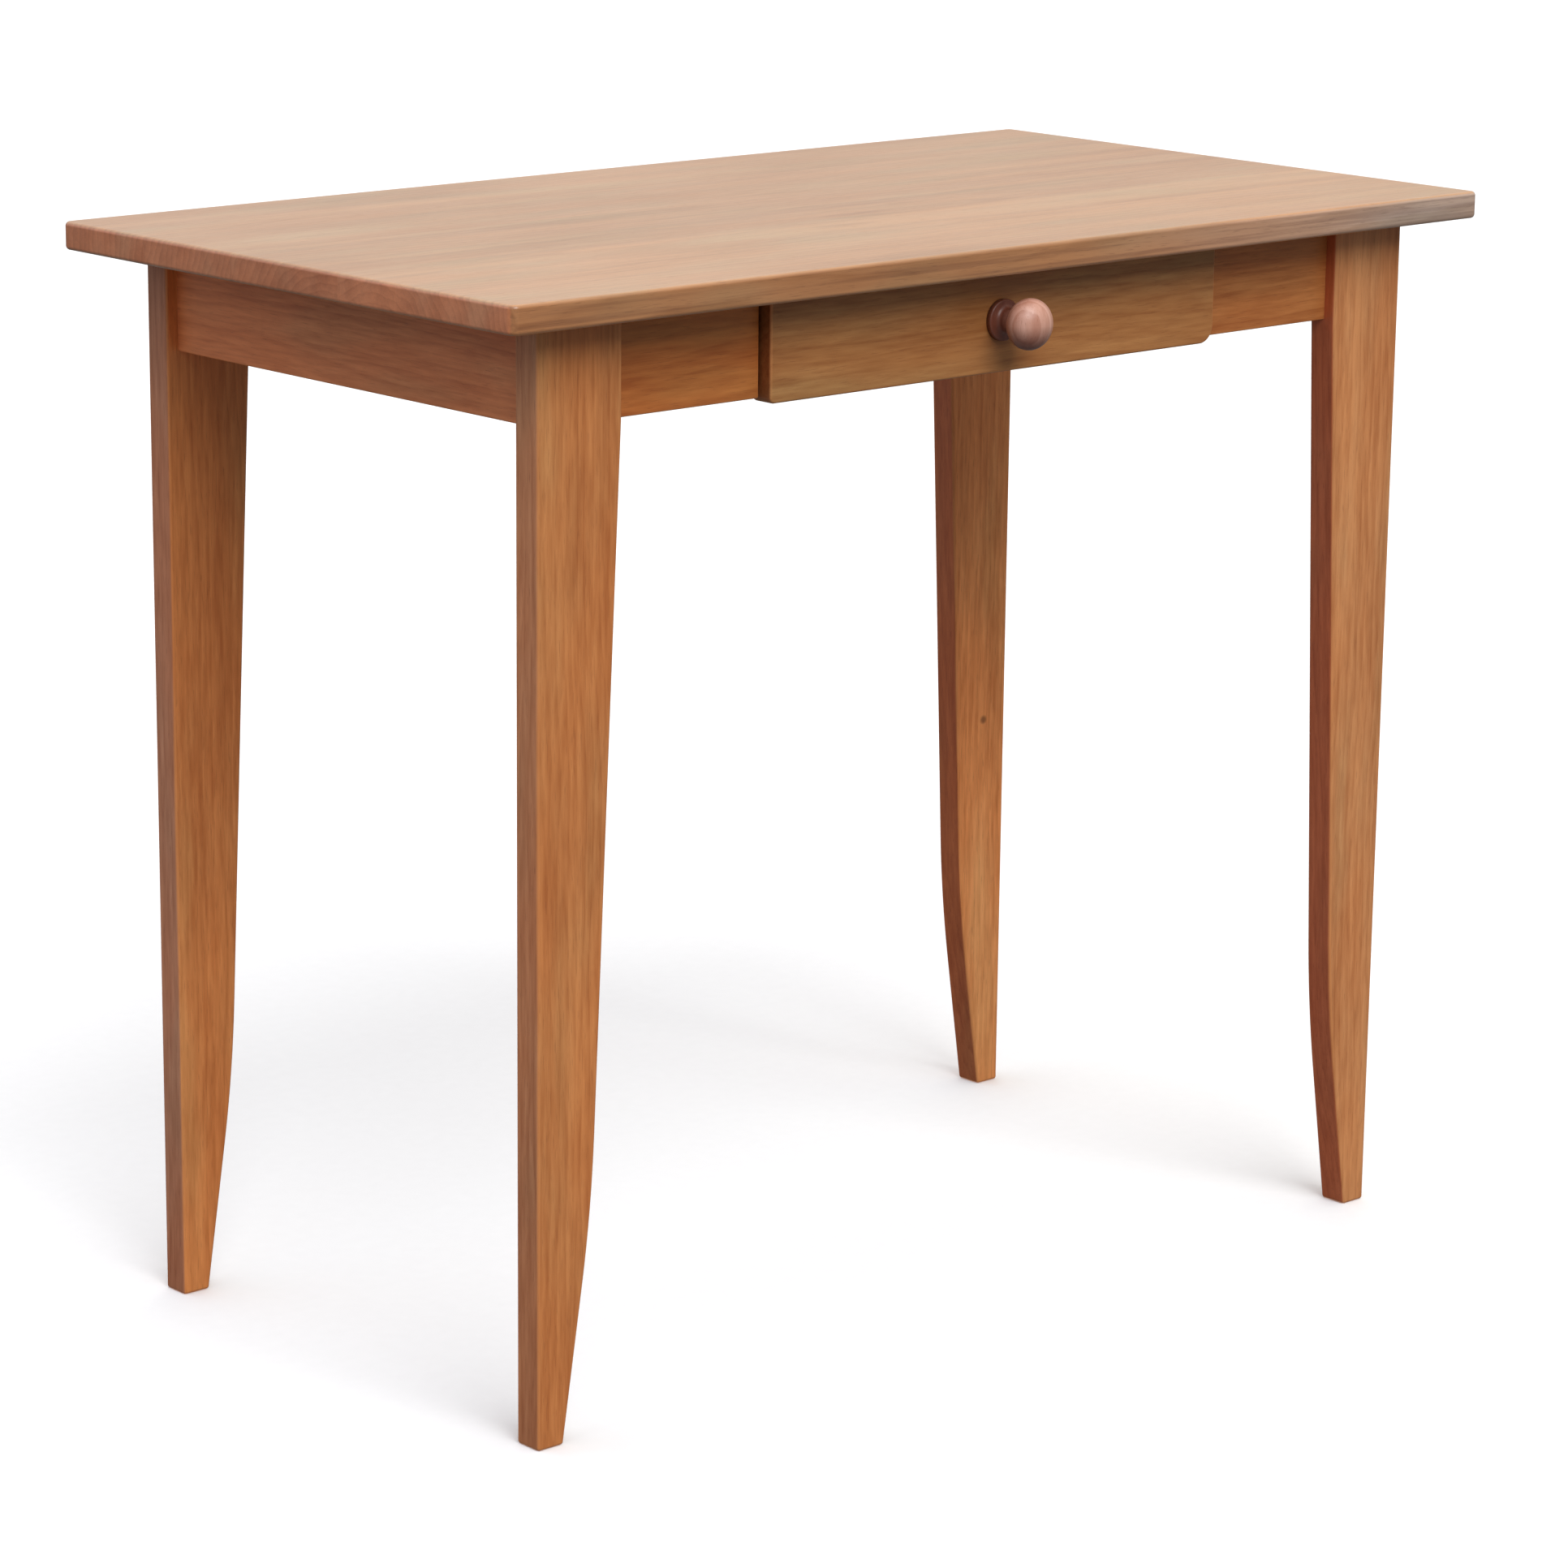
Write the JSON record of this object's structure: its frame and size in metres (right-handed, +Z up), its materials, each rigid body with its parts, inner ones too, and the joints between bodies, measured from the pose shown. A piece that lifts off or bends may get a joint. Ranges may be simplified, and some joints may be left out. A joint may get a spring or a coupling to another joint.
{
  "type": "writing desk with drawer",
  "caption": "Small solid-wood writing desk: rounded plank top, flat tapered legs with a bend near the foot, shallow aprons and one centre drawer with a round turned knob.",
  "frame": {"origin": "bottom centre of the whole desk's box, knob included, on the floor", "axes": "+X along the long side to the right as seen from the front, +Y to the back (the drawer opens along -Y), +Z up"},
  "size_m": [0.88, 0.484, 0.75],
  "materials": {
    "top_wood": "oiled hardwood boards, satin",
    "frame_wood": "oiled hardwood, satin",
    "knob_wood": "turned hardwood, satin",
    "inner_wood": "planed hardwood, matt",
    "drawer_wood": "planed wood, matt",
    "plywood": "sanded plywood, matt",
    "screw_steel": "zinc-plated"
  },
  "bodies": {
    "desk": {"table_top": "top_wood", "leg_front_left": "frame_wood", "leg_front_right": "frame_wood", "leg_back_left": "frame_wood", "leg_back_right": "frame_wood", "side_rail_left": "frame_wood", "side_rail_right": "frame_wood", "back_rail": "frame_wood", "front_apron_left": "frame_wood", "front_apron_right": "frame_wood", "front_top_rail": "inner_wood", "drawer_guide_left": "inner_wood", "drawer_guide_right": "inner_wood", "drawer_runner_left": "inner_wood", "drawer_runner_right": "inner_wood", "drawer_kicker_left": "inner_wood", "drawer_kicker_right": "inner_wood", "drawer_stops": "inner_wood", "corner_blocks": "inner_wood", "corner_block_screws": "screw_steel", "top_buttons": "inner_wood", "top_button_screws": "screw_steel", "top_rail_screws": "screw_steel", "runner_screws": "screw_steel"},
    "drawer": {"drawer_front": "frame_wood", "drawer_side_left": "drawer_wood", "drawer_side_right": "drawer_wood", "drawer_back": "drawer_wood", "drawer_bottom": "plywood", "drawer_back_screws": "screw_steel", "drawer_knob": "knob_wood", "knob_screw": "screw_steel"}
  },
  "joints": [
    {"name": "drawer_slide", "type": "slide", "parent": "desk", "child": "drawer", "axis": [0, -1, 0], "range_m": [0, 0.25]}
  ]
}
